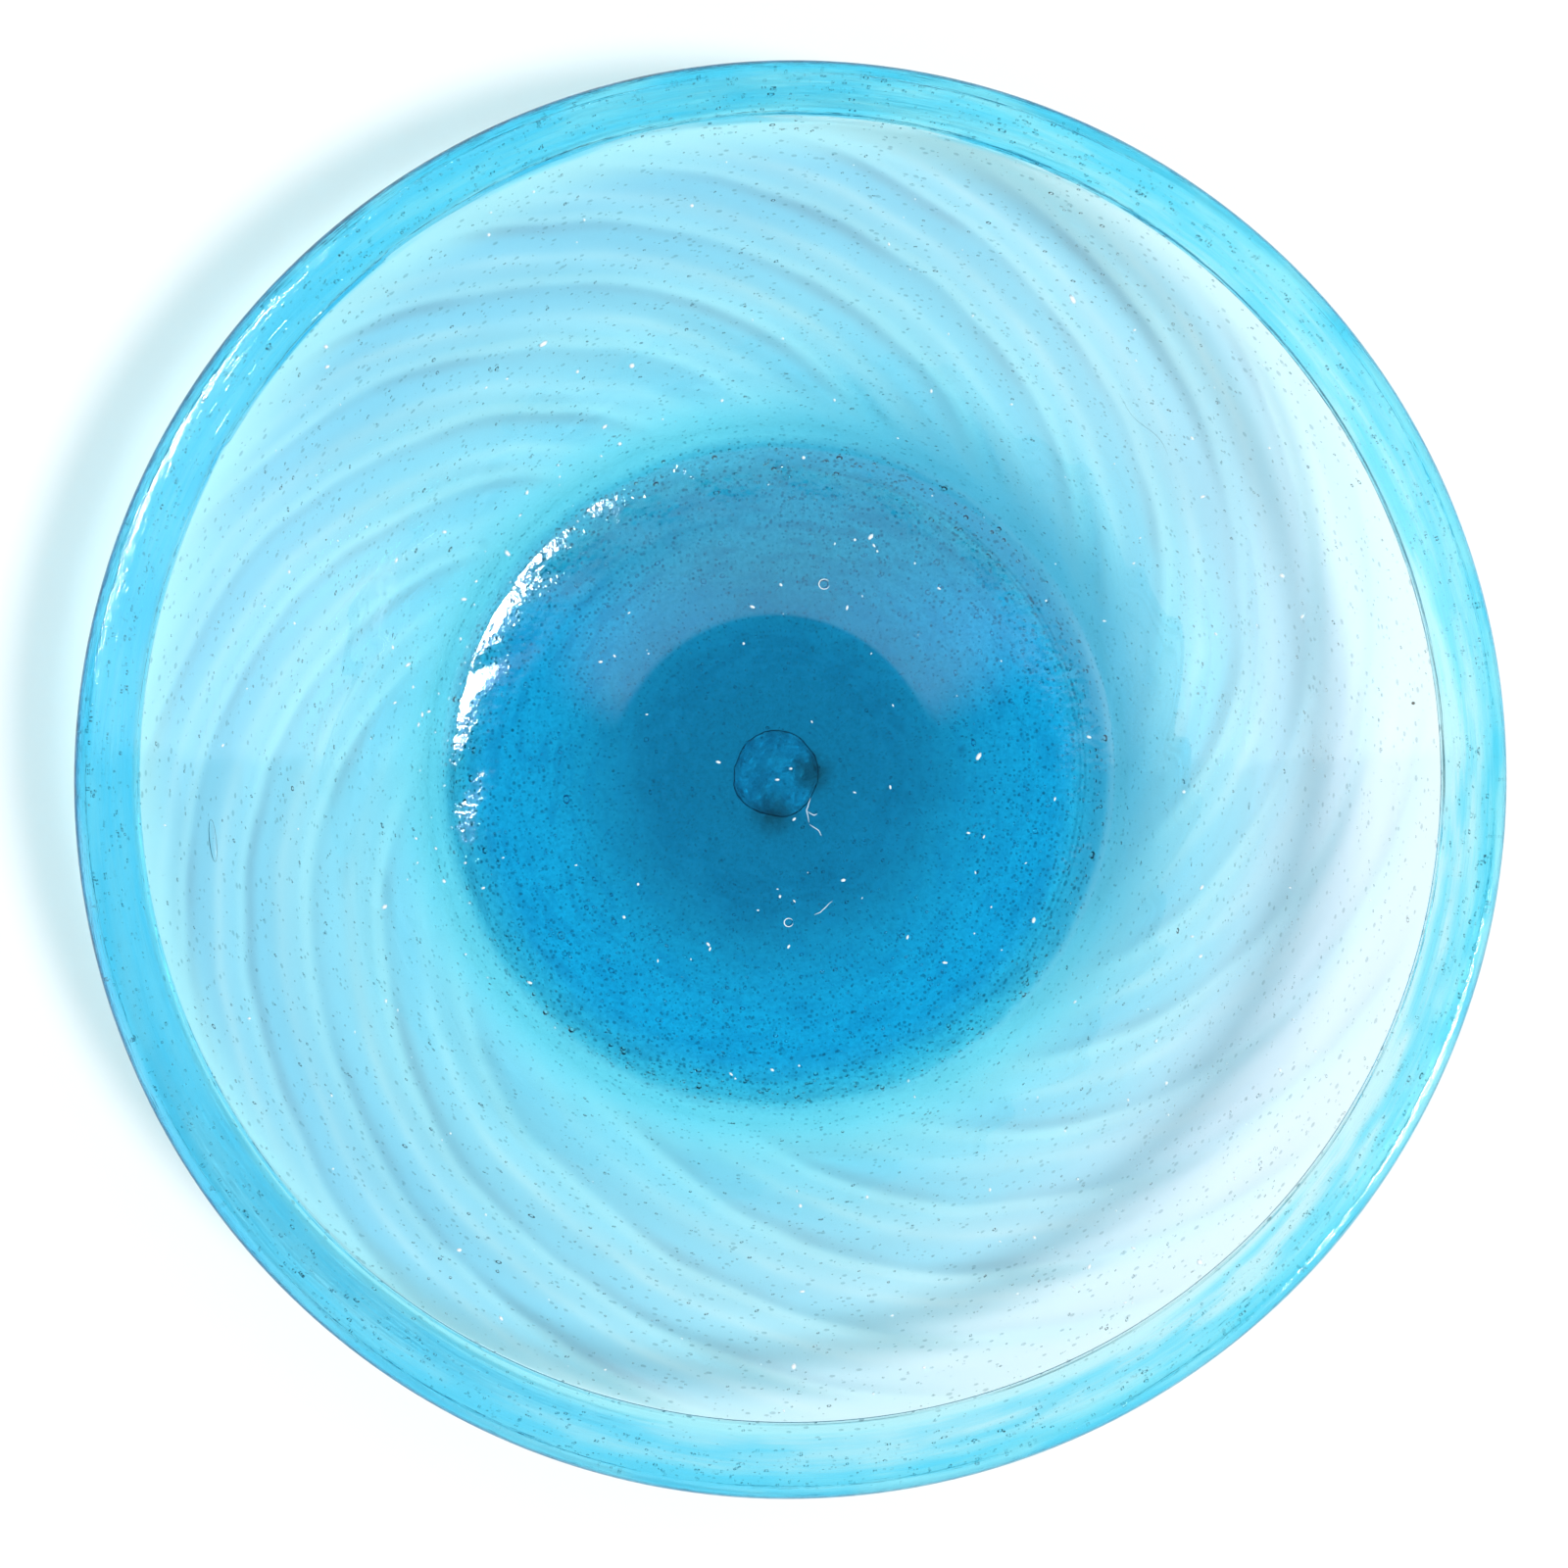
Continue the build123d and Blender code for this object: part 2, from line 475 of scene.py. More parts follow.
def wall_thinning(r, turn):
    """How much thinner the wall is than its average, at this radius and bearing."""
    thin = 0.12 * MM * cos(turn) + 0.75 * MM * lobe(turn, -0.45, 2)
    thin -= 0.32 * MM * around(turn, 80, 260, 50) * ease((r - 0.10) / 0.02)
    return thin * band(r, 0.085, 0.03, 0.1485, 0.008)


def build_bowl_mesh(settings):
    """Spin the section round, then give it its ribs, its fold edge and its hand-made wander."""
    line = Line(settings)
    section = bowl_section(line)
    bm = bmesh.new()
    station = bm.verts.layers.int.new("station")
    verts = []
    for i, (r, z, side) in enumerate(section):
        vert = bm.verts.new((r, 0, z))
        vert[station] = i
        verts.append(vert)
    edges = [bm.edges.new(pair) for pair in zip(verts, verts[1:])]
    bmesh.ops.spin(
        bm, geom=verts + edges, cent=(0, 0, 0), axis=(0, 0, 1), angle=2 * pi,
        steps=settings.turns, use_merge=True, use_duplicate=False,
    )
    bmesh.ops.remove_doubles(bm, verts=bm.verts, dist=1e-7)
    bmesh.ops.recalc_face_normals(bm, faces=bm.faces)
    fold_at = RIM_RADIUS - settings.fold_width
    cut_edge = [i for i, point in enumerate(section) if point[2] == "edge"]
    for vert in bm.verts:
        r, z, side = section[vert[station]]
        if r < 1e-5:
            continue
        turn = atan2(vert.co.y, vert.co.x)
        slope = line.slope_at(r) if side != "floor" else 0.0
        if side in ("outer", "edge", "fold"):
            near_edge = ease(1 - abs(r - fold_at) / (0.0125 if r > fold_at else 0.030))
            shift = fold_edge_shift(turn) * near_edge
            r += shift * cos(slope)
            z += shift * sin(slope)
        depth = 0.0
        if side in ("outer", "fold", "edge", "bead"):
            depth += wall_wander(r, turn) - wall_thinning(r, turn)
        light_fold = LIGHT_FOLD * lobe(turn, -0.75, 1.5)
        if side == "fold":
            depth -= light_fold * ease((0.1490 - r) / 0.005)
        if side == "edge":
            depth -= light_fold * (cut_edge[-1] - vert[station]) / (len(cut_edge) - 1)
        if side == "outer":
            depth += outside_growth(settings, r, turn)
        if side == "inner":
            depth -= 0.6 * wall_wander(r, turn)
        if side in ("inner", "floor") and r > 0.055:
            depth += inside_growth(settings, r, turn)
        r += depth * sin(slope)
        z -= depth * cos(slope)
        if r > 0.1:
            r -= RIM_WOBBLE * (0.5 + 0.5 * sin(2 * turn + 2.1)) * ease((r - 0.10) / 0.04)
        vert.co = Vector((r * cos(turn), r * sin(turn), max(z, 0.0)))
    return bm


def finish_piece(name, bm, material):
    """Turn a bmesh into a piece that rides on the bowl."""
    mesh = bpy.data.meshes.new(name)
    bm.to_mesh(mesh)
    bm.free()
    for polygon in mesh.polygons:
        polygon.use_smooth = True
    mesh.materials.append(material)
    piece = bpy.data.objects.new(name, mesh)
    bpy.context.scene.collection.objects.link(piece)
    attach(piece, "root")
    return piece


# --- glass ------------------------------------------------------------------------------

def glass_surface(shader, settings, roughness=0.0, normal=None, shade=0.0, colour=CLEAR):
    """Clear glass that lets lamp light through, tinted by the colour given to its skin; its tint by
    depth is a volume set apart.
    """
    inputs = {
        "Base Color": colour,
        "Transmission Weight": 1.0,
        "Roughness": roughness,
        "IOR": settings.refraction,
    }
    if normal:
        inputs["Normal"] = normal
    glass = shader.node("ShaderNodeBsdfPrincipled", None, inputs)
    open_side = shader.node("ShaderNodeBsdfPrincipled", None, {**inputs, "Alpha": shade})
    rays = shader.node("ShaderNodeLightPath")
    lamp_lit = shader.node(
        "ShaderNodeMixShader", None,
        {0: rays["Is Shadow Ray"], 1: glass["BSDF"], 2: open_side["BSDF"]},
    )
    return shader.node(
        "ShaderNodeMixShader", None,
        {0: rays["Is Diffuse Ray"], 1: lamp_lit["Shader"], 2: open_side["BSDF"]},
    )["Shader"]


def tinted_depth(shader, settings, strong=1.0):
    """Absorption that gives the tint after 10 mm, or after less where it is strong."""
    strengths = [-log(channel) * strong / 0.010 for channel in settings.tint]
    density = max(strengths) * 1.04
    colour = [1 - strength / density for strength in strengths]
    return shader.node(
        "ShaderNodeVolumeAbsorption", None, {"Color": (*colour, 1), "Density": density},
    )["Volume"]


def near(axes, x, y, inside, outside):
    """1 within the inside distance of a point in plan, 0 beyond the outside distance."""
    off_x = axes["X"] - x
    off_y = axes["Y"] - y
    return 1 - ((off_x * off_x + off_y * off_y) ** 0.5).ramp(inside, outside)


def near_radius(radius, middle, width):
    """1 on a circle round the axis, falling to 0 at this distance from it."""
    return radius.ramp(middle - width, middle) * (1 - radius.ramp(middle, middle + width))


class Whereabouts:
    """Where a point of the bowl lies, for the finishes that change from place to place."""

    def __init__(self, shader):
        self.place = shader.node("ShaderNodeTexCoord")["Object"]
        self.axes = shader.node("ShaderNodeSeparateXYZ", None, {"Vector": self.place})
        self.radius = (self.axes["X"] * self.axes["X"] + self.axes["Y"] * self.axes["Y"]) ** 0.5
        self.turn = self.axes["Y"].bearing(self.axes["X"])
        self.in_base = 1 - self.radius.ramp(0.070, 0.080)
        self.on_wall = self.radius.ramp(0.078, 0.090) * (1 - self.radius.ramp(0.128, 0.138))
        self.on_fold = self.radius.ramp(0.1375, 0.1385)
        self.drawn = self.drawn_streaks(shader, 5.0, 420.0, 3.0)
        self.cloud = shader.noise(self.place, 70.0, 5.0)
        # Noise for the soot on the pontil scar and for breaking up the painted shadow line at the heel.
        self.grime_and_shade_noise = shader.noise(self.place, 420.0, 4.0)

    def drawn_streaks(self, shader, round_scale, out_scale, detail):
        """Noise drawn out along circles round the axis."""
        drawn = shader.node(
            "ShaderNodeCombineXYZ", None,
            {
                "X": self.turn.cosine() * round_scale,
                "Y": self.turn.sine() * round_scale,
                "Z": self.radius * out_scale,
            },
        )
        return shader.noise(drawn["Vector"], 1.0, detail)

    def facing(self, bearing, low, high):
        """1 on the side of the bowl at this bearing, falling to 0 away from it."""
        return (self.turn - bearing).cosine().ramp(low, high)


class RibBands:
    """The bands of light and dark that the twisted ribs of the wall gather."""

    def __init__(self, shader, at, shape):
        out = (at.radius - RIB_START) * (1 / RIB_LENGTH)
        spread = at.turn
        for waves, height, lead in RIB_CROWDING:
            spread = spread + (at.turn * waves + lead).sine() * height
        twist = out * (1 - RIB_CURL + out * RIB_CURL) * shape.rib_twist
        wander = shader.noise(at.place, 22.0)
        phase = (spread - twist) * shape.rib_count + (wander - 0.5) * 2.4 + RIB_LEAD
        strength = shader.noise(at.place, 37.0, 1.0).ramp(0.25, 0.75) * 1.1 + 0.35
        self.dark = self.band(phase, 0.75, 7.0) * strength
        self.bright = self.band(phase, 0.0, 15.0)
        self.second = self.band(phase, -2.4, 14.0) * strength
        self.broad = self.band(phase, 1.9, 1.0)

    def band(self, phase, lag, sharpness):
        """1 along a line this far behind the rib's crest, narrower where it is sharper."""
        return (0.5 + (phase - lag).cosine() * 0.5) ** sharpness

    def shade(self):
        """How much lamp light the bands keep back."""
        return 0.07 + self.broad * 0.06 + self.dark * 0.10 - self.bright * 0.12


def base_colour(shader, at):
    """Painted shade in the middle, drawn streaks and grain, and a painted reflection of the ceiling on
    its far side.
    """
    # Painted shade: the middle of the base is darkened, for the lesser light that reaches the table
    # under it.
    centre_shade = 1 - (at.radius + at.cloud * 0.012).ramp(0.031, 0.066)
    colour = shader.mix_colour(centre_shade, CLEAR, (0.10, 0.36, 0.46, 1))
    grainy = shader.noise(at.place, 900.0, 3.0).ramp(0.46, 0.60) * at.in_base * 0.22
    colour = shader.mix_colour(grainy, colour, (0.05, 0.16, 0.22, 1))
    outer_base = at.in_base * at.radius.ramp(0.012, 0.030)
    flow = at.drawn.ramp(0.48, 0.64) * outer_base * 0.34
    colour = shader.mix_colour(flow, colour, (0.26, 0.50, 0.62, 1))
    pull = at.cloud.ramp(0.50, 0.68) * outer_base * 0.28
    colour = shader.mix_colour(pull, colour, (0.30, 0.52, 0.64, 1))
    # Painted reflection: a greyer crescent on the far side of the base stands for the ceiling's
    # reflection.
    ceiling_reflection = at.axes["Y"].ramp(0.030, 0.052) * (1 - at.radius.ramp(0.066, 0.074))
    reflection_tint = shader.mix_colour(ceiling_reflection, CLEAR, (1.0, 0.86, 0.77, 1))
    return shader.product(colour, reflection_tint)


def wall_colour(shader, at, bands):
    """Painted caustic light and shade: azure and grey bands along the ribs over the wall's own tint,
    fading on the lamp-lit side, with a painted fold shadow and painted shade on the far side.
    """
    # Painted light: the lamp-lit side near the fold, where the table is lit directly, so the bands fade
    # there.
    lamp_lit_side = at.facing(-0.5, 0.1, 0.85) * at.radius.ramp(0.108, 0.124)
    # Painted caustic light and shade: bands that the ribs gather on the table, over the wall's own azure
    # tint.
    blue = 0.40 + bands.broad * 0.45 - bands.bright * 0.85 - bands.second * 0.40
    blue = (blue * (1 - lamp_lit_side * 0.9)).highest(0.0)
    colour = shader.mix_colour(blue, (1.0, 0.97, 1.0, 1), (0.62, 0.83, 0.95, 1))
    grey = (bands.dark * 0.50 - bands.bright * 0.3).highest(0.0) * (1 - lamp_lit_side * 0.8)
    colour = shader.mix_colour(grey, colour, (0.60, 0.60, 0.68, 1))
    # Painted shadow: the fold's shadow on the table, a lavender band on the lamp's side.
    fold_shadow = at.facing(-0.15, 0.3, 0.95) * at.radius.ramp(0.097, 0.108)
    fold_shadow = fold_shadow * (1 - at.radius.ramp(0.118, 0.126)) * 0.75
    colour = shader.mix_colour(fold_shadow, colour, (0.72, 0.76, 0.86, 1))
    # Painted shade on the side of the wall away from the lamp.
    far_wall_shade = at.facing(2.75, -0.3, 0.5) * at.radius.ramp(0.100, 0.120)
    tone = shader.mix_colour(far_wall_shade, CLEAR, (0.92, 0.93, 0.97, 1))
    return shader.product(colour, tone)


def heel_colour(shader, at, colour):
    """Painted shade where the heel turns up on the lamp's side, and a painted shadow line at its inner
    edge.
    """
    lamp_side = at.facing(0.44, 0.1, 1.0)
    # Painted shadow next to the heel on the lamp's side.
    rise = at.radius.ramp(0.0665, 0.0725) * (1 - at.radius.ramp(0.0790, 0.0940)) * lamp_side
    colour = shader.mix_colour(rise * 0.85, colour, (0.43, 0.55, 0.68, 1))
    # Painted shadow: a thin dark line at the heel's inner edge on the lamp's side.
    heel_shadow_line = near_radius(at.radius, 0.0689, 0.0005) * lamp_side * at.grime_and_shade_noise
    return shader.mix_colour(heel_shadow_line, colour, (0.10, 0.20, 0.28, 1))


def fold_colour(shader, at):
    """Turquoise streaks along the fold, with painted shade away from the lamp, deeper at the outline."""
    colour = shader.mix_colour(at.drawn.ramp(0.40, 0.60), (0.40, 0.86, 0.99, 1), CLEAR)
    # Painted shade: the fold is darker away from the lamp, where the table under it lies in shadow.
    shade_away_from_lamp = ((at.turn - 0.35).cosine() * -0.5 + 0.5) ** 2.0
    colour = shader.mix_colour(shade_away_from_lamp * 0.6, colour, (0.42, 0.74, 0.95, 1))
    outline = at.radius.ramp(0.1488, 0.1494) * 0.7
    return shader.mix_colour(outline, colour, (0.10, 0.34, 0.42, 1))


def with_specks(shader, at, colour):
    """Sooty smudges over the pontil scar and dark specks in all of the glass."""
    smudge = near(at.axes, 0.0078, 0.0005, 0.001, 0.0065).highest(
        near(at.axes, -0.0008, -0.0085, 0.001, 0.0070) * 0.9
    )
    smudge = smudge * at.grime_and_shade_noise.ramp(0.28, 0.52)
    colour = shader.mix_colour(smudge * 0.9, colour, (0.08, 0.12, 0.14, 1))
    polar = shader.node(
        "ShaderNodeCombineXYZ", None,
        {"X": at.radius * 900.0, "Y": at.turn * 52.0, "Z": at.axes["Z"] * 900.0},
    )
    cells = shader.node("ShaderNodeTexVoronoi", None, {"Vector": polar["Vector"], "Scale": 1.0})
    chance = shader.node("ShaderNodeSeparateColor", None, {"Color": cells["Color"]})["Red"]
    crowded = at.radius.ramp(0.040, 0.062) * (1 - at.radius.ramp(0.072, 0.084))
    scarce = 0.45 - crowded * 0.35 - at.in_base * 0.15
    size = chance.ramp(scarce, 1.15) * (0.40 + at.in_base * 0.06 - at.on_fold * 0.25) + 0.001
    specks = 1 - cells["Distance"].ramp(size * 0.6, size)
    return shader.mix_colour(specks * (0.55 + at.in_base * 0.30), colour, (0.14, 0.20, 0.24, 1))


def blown_glass(settings, shape):
    """The bowl's own glass: its ribs and its fold gather lamp light into soft bands."""
    material, shader = new_material("turquoise_glass")
    at = Whereabouts(shader)
    bands = RibBands(shader, at, shape)
    brushed = at.drawn_streaks(shader, 9.0, 2600.0, 2.0)
    ripple = shader.noise(at.place, 620.0, 3.0)
    on_heel = at.radius.ramp(0.058, 0.068) * (1 - at.radius.ramp(0.078, 0.086))
    bump = shader.node(
        "ShaderNodeBump", None,
        {
            "Height": brushed * at.on_fold + ripple * on_heel * 0.5,
            "Strength": 0.5, "Distance": 0.0003,
        },
    )
    colour = base_colour(shader, at)
    colour = shader.mix_colour(at.on_wall, colour, wall_colour(shader, at, bands))
    colour = heel_colour(shader, at, colour)
    colour = shader.mix_colour(at.on_fold, colour, fold_colour(shader, at))
    colour = with_specks(shader, at, colour)
    shade = (bands.shade() * at.on_wall).highest(at.on_fold * 0.42)
    rough = at.radius.ramp(0.1470, 0.1480) * 0.10
    surface = glass_surface(shader, settings, rough, bump["Normal"], shade, colour)
    shader.node(
        "ShaderNodeOutputMaterial", None,
        {"Surface": surface, "Volume": tinted_depth(shader, settings)},
    )
    return material


def seed_glass(settings):
    """The skin of a bubble, a little uneven where it cooled."""
    material, shader = new_material("seed_bubble")
    place = shader.node("ShaderNodeTexCoord")["Object"]
    skin = shader.noise(place, 1400.0)
    surface = glass_surface(shader, settings, skin.ramp(0.45, 0.75) * 0.12)
    shader.node("ShaderNodeOutputMaterial", None, {"Surface": surface})
    return material


def bruised_glass():
    """Pale crushed glass, as in a scratch or a chip, also used for painted glints and painted highlight
    rims.
    """
    material, shader = new_material("bruised_glass")
    place = shader.node("ShaderNodeTexCoord")["Object"]
    grain = shader.noise(place, 2500.0)
    paint = shader.node(
        "ShaderNodeBsdfPrincipled", None,
        {"Base Color": (0.86, 0.90, 0.92, 1), "Roughness": 0.3 + grain * 0.4},
    )
    shader.node("ShaderNodeOutputMaterial", None, {"Surface": paint["BSDF"]})
    return material


def unmelted_stone():
    """Dark brown grit that came from the furnace."""
    material, shader = new_material("unmelted_stone")
    place = shader.node("ShaderNodeTexCoord")["Object"]
    grain = shader.noise(place, 3000.0)
    colour = shader.mix_colour(grain, (0.03, 0.02, 0.015, 1), (0.16, 0.10, 0.05, 1))
    paint = shader.node("ShaderNodeBsdfPrincipled", None, {"Base Color": colour, "Roughness": 0.7})
    shader.node("ShaderNodeOutputMaterial", None, {"Surface": paint["BSDF"]})
    return material


def chipped_glass(settings):
    """Rough glass with a grey stain, where the pontil rod was cracked off."""
    material, shader = new_material("chipped_glass")
    place = shader.node("ShaderNodeTexCoord")["Object"]
    grain = shader.noise(place, 900.0, 5.0)
    bump = shader.node(
        "ShaderNodeBump", None, {"Height": grain, "Strength": 0.5, "Distance": 0.0004},
    )
    stain = shader.noise(place, 320.0, 4.0).ramp(0.35, 0.6)
    colour = shader.mix_colour(stain, (0.62, 0.72, 0.76, 1), CLEAR)
    surface = glass_surface(shader, settings, 0.18, bump["Normal"], 0.15, colour)
    depth = tinted_depth(shader, settings, 1.2)
    shader.node("ShaderNodeOutputMaterial", None, {"Surface": surface, "Volume": depth})
    return material


# --- bubbles and marks ------------------------------------------------------------------

def under_inside(line, radius, turn, depth):
    """Point this far under the inside face of the wall."""
    slope = line.slope_at(radius)
    r, z = line.inner(slope)
    r, z = r + depth * sin(slope), z - depth * cos(slope)
    return Vector((r * cos(turn), r * sin(turn), z))


def in_wall(line, radius, turn, share):
    """Point inside the wall or the fold, at this share of the depth from the inside face."""
    layer = line.shape.fold_thickness if radius > RIM_RADIUS - line.shape.fold_width else 0.0
    depth = line.thickness(line.slope_at(radius)) + layer
    return under_inside(line, radius, turn, depth * share)


def draw_ball(bm, place, along, size, smoothness):
    """Add a rounded lump: its place, its long direction in plan and its half-sizes."""
    turn = Matrix.Rotation(along, 4, "Z")
    scale = Matrix.Diagonal((*size, 1))
    bmesh.ops.create_icosphere(
        bm, subdivisions=smoothness, radius=1.0, matrix=Matrix.Translation(place) @ turn @ scale,
    )


def draw_thread(bm, points, radius):
    """Add a thread that follows the points, round in section and tapered to its ends."""
    rings = []
    last = len(points) - 1
    for i, point in enumerate(points):
        ahead = (points[min(i + 1, last)] - points[max(i - 1, 0)]).normalized()
        side = ahead.cross(Vector((0, 0, 1))).normalized()
        up = side.cross(ahead)
        here = radius * max(0.12, sin(pi * i / last)) ** 0.5
        rings.append([
            bm.verts.new(point + here * (side * cos(pi * k / 3) + up * sin(pi * k / 3)))
            for k in range(6)
        ])
    for first, second in zip(rings, rings[1:]):
        for k in range(6):
            j = (k + 1) % 6
            bm.faces.new((first[k], first[j], second[j], second[k]))
    bm.faces.new(rings[0][::-1])
    bm.faces.new(rings[-1])


class Seeds:
    """Bubbles gathered into one mesh, a hundred at a time, because a full mesh grows slowly."""

    def __init__(self):
        self.whole = bmesh.new()
        self.some = bmesh.new()
        self.count = 0

    def put(self, place, along, size):
        """Add one bubble: its place, its long direction in plan and its three half-sizes."""
        draw_ball(self.some, place, along, size, 1)
        self.count += 1
        if self.count % 100 == 0:
            self.gather()

    def gather(self):
        """Move the bubbles made so far to the whole mesh."""
        mesh = bpy.data.meshes.new("some")
        self.some.to_mesh(mesh)
        self.whole.from_mesh(mesh)
        bpy.data.meshes.remove(mesh)
        self.some.free()
        self.some = bmesh.new()
        return self.whole


def scatter_wall_seeds(seeds, settings, line, dice):
    """Small bubbles in the wall, drawn out along the spiral that the bowl was spun in."""
    for _ in range(settings.wall_count):
        r = (dice.uniform(0.076 ** 2, 0.147 ** 2)) ** 0.5
        turn = dice.uniform(-pi, pi)
        depth = line.thickness(line.slope_at(r)) * dice.uniform(0.25, 0.75)
        width = settings.width * dice.lognormvariate(-0.2, 0.35) / 2
        stretch = dice.uniform(1.0, 2.6)
        along = turn + pi / 2 + radians(dice.gauss(12, 10))
        size = (width * stretch, width, width * 0.8)
        seeds.put(under_inside(line, r, turn, depth), along, size)


def scatter_fold_seeds(seeds, settings, line, dice):
    """Longer bubbles in the layer that was turned under, drawn out round the rim."""
    for _ in range(settings.fold_count):
        turn = dice.uniform(-pi, pi)
        r = dice.uniform(0.1392, 0.1465)
        depth = line.thickness(line.slope_at(r)) + 0.0034 * dice.uniform(0.15, 0.8)
        width = settings.width * dice.lognormvariate(-0.1, 0.35) / 2
        stretch = dice.uniform(1.2, 3.5)
        along = turn + pi / 2 + radians(dice.gauss(0, 6))
        size = (width * stretch, width, width * 0.8)
        seeds.put(under_inside(line, r, turn, depth), along, size)


def scatter_base_seeds(seeds, settings, line, dice):
    """Rounder bubbles in the base, closer together towards the heel."""
    for _ in range(settings.base_count):
        turn = dice.uniform(-pi, pi)
        r = 0.0745 * dice.uniform(0.0, 1.0) ** (0.32 if dice.random() < 0.6 else 0.5)
        top = line.floor(min(r, DISH_RADIUS))
        low = line.underside(r) if r < RING_OUTER else (r - RING_OUTER) * 0.95
        z = between(low, top, dice.uniform(0.15, 0.85))
        large = dice.random() < 0.10 and r > 0.045
        width = settings.width * dice.lognormvariate(0.85 if large else 0.2, 0.35) / 2
        size = (width * dice.uniform(1.0, 1.5), width, width)
        seeds.put(Vector((r * cos(turn), r * sin(turn), z)), turn + pi / 2, size)


def draw_fold_air(line):
    """The broken line of air that was caught where the lip was turned under."""
    bm = bmesh.new()
    dice = random.Random(5)
    start = 60.0
    while start < 400.0:
        span = dice.uniform(8.0, 42.0)
        steps = max(6, int(span * 1.5))
        drift = dice.uniform(-0.0003, 0.0003)
        thread = [
            in_wall(line, 0.14805 + drift * i / steps, radians(start + span * i / steps), 0.45)
            for i in range(steps + 1)
        ]
        draw_thread(bm, thread, dice.uniform(0.00010, 0.00018))
        start += span + dice.uniform(0.5, 9.0)
    return bm


def draw_hair(line):
    """One long thin bubble in the wall, as fine as a hair."""
    bm = bmesh.new()
    steps = 20
    points = []
    for i in range(steps + 1):
        radius = 0.1070 + 0.0012 * i / steps + 0.0006 * sin(i * 0.35)
        points.append(in_wall(line, radius, radians(40.5 + 9.0 * i / steps), 0.5))
    draw_thread(bm, points, 0.00007)
    return bm


def draw_scratches_and_rim_highlights(line):
    """The chips and scratches on the floor, and pale rims round the two floor bubbles: partly a burst
    rim, partly a painted highlight on their outline.
    """
    bm = bmesh.new()
    steps = 8
    for corners in SCRATCHES:
        points = []
        for (x0, y0), (x1, y1) in zip(corners, corners[1:]):
            for i in range(steps):
                x = between(x0, x1, i / steps) * MM
                y = between(y0, y1, i / steps) * MM
                jitter = noise.noise(Vector((x * 900, y * 900, 2.0))) * 0.15 * MM
                points.append(Vector((x + jitter, y - jitter, line.floor(hypot(x, y)))))
        draw_thread(bm, points, 0.00009)
    # Pale rings over the floor bubbles: part burst rim, part painted highlight.
    for x, y, size in BURST_RIM_HIGHLIGHTS:
        burst = []
        for i in range(29):
            turn = 0.6 + radians(310 * i / 28)
            at = Vector((x + size * cos(turn), y + size * 0.92 * sin(turn), 0.0))
            at.z = line.floor(at.length)
            burst.append(at)
        draw_thread(bm, burst, 0.00013)
    return bm


def draw_painted_glints(line):
    """Pale specks on the inside that stand for painted glints, sparkles of light, closest together near
    the heel.
    """
    bm = bmesh.new()
    dice = random.Random(31)
    # Painted glints: pale specks stand in for sparkles of light, forty of them at the heel's glint.
    for i in range(260):
        near_heel = i < 40
        turn = radians(dice.gauss(162, 22)) if near_heel else dice.uniform(-pi, pi)
        r = dice.gauss(0.0765, 0.004) if near_heel else 0.135 * dice.random() ** 0.6
        if r < 0.0765:
            place = Vector((r * cos(turn), r * sin(turn), line.floor(min(r, 0.0715))))
        else:
            place = in_wall(line, r, turn, 0.0)
        size = 0.00026 * dice.lognormvariate(0.0, 0.35)
        sizes = (size * dice.uniform(1, 2.2), size, size * 0.6)
        draw_ball(bm, place, dice.uniform(0, pi), sizes, 1)
    return bm


def draw_stones(line):
    """The three dark stones in the wall and the fold."""
    bm = bmesh.new()
    for x, y, size in STONES:
        place = in_wall(line, hypot(x, y), atan2(y, x), 0.5)
        draw_ball(bm, place, 0.0, (size, size * 0.8, size * 0.7), 2)
    for vert in bm.verts:
        vert.co += vert.normal * 0.00008 * noise.noise(vert.co * 5000)
    return bm


def build_scar_mesh():
    """Spin the scar round, then chip its underside and wear its outline."""
    bm = bmesh.new()
    radius = SCAR_BOX[1][0]
    low, high = SCAR_BOX[0][2], SCAR_BOX[1][2]
    top = high - 0.00008
    profile = [
        (0, top), (radius * 0.88, top), (radius * 0.99, high - 0.0004),
        (radius * 0.8, low), (radius * 0.4, low + 0.0004), (0, low + 0.0006),
    ]
    verts = [bm.verts.new((r, 0, z)) for r, z in profile]
    edges = [bm.edges.new(pair) for pair in zip(verts, verts[1:])]
    bmesh.ops.subdivide_edges(bm, edges=edges, cuts=5)
    bmesh.ops.spin(
        bm, geom=bm.verts[:] + bm.edges[:], cent=(0, 0, 0), axis=(0, 0, 1), angle=2 * pi,
        steps=96, use_merge=True, use_duplicate=False,
    )
    bmesh.ops.remove_doubles(bm, verts=bm.verts, dist=1e-7)
    bmesh.ops.recalc_face_normals(bm, faces=bm.faces)
    for vert in bm.verts:
        if vert.co.z < high - 0.0002:
            vert.co.z += 0.0004 * noise.fractal(vert.co * 380, 0.8, 2.2, 5)
            vert.co.z = min(max(vert.co.z, low), high - 0.00012)
        turn = atan2(vert.co.y, vert.co.x)
        bite = noise.fractal(Vector((cos(turn) * 1.3, sin(turn) * 1.3, 7.0)), 0.8, 2.2, 4)
        worn = min(1.0, 0.97 - 0.06 * bite)
        vert.co.x *= worn
        vert.co.y *= worn
    return bm


# --- the stage --------------------------------------------------------------------------

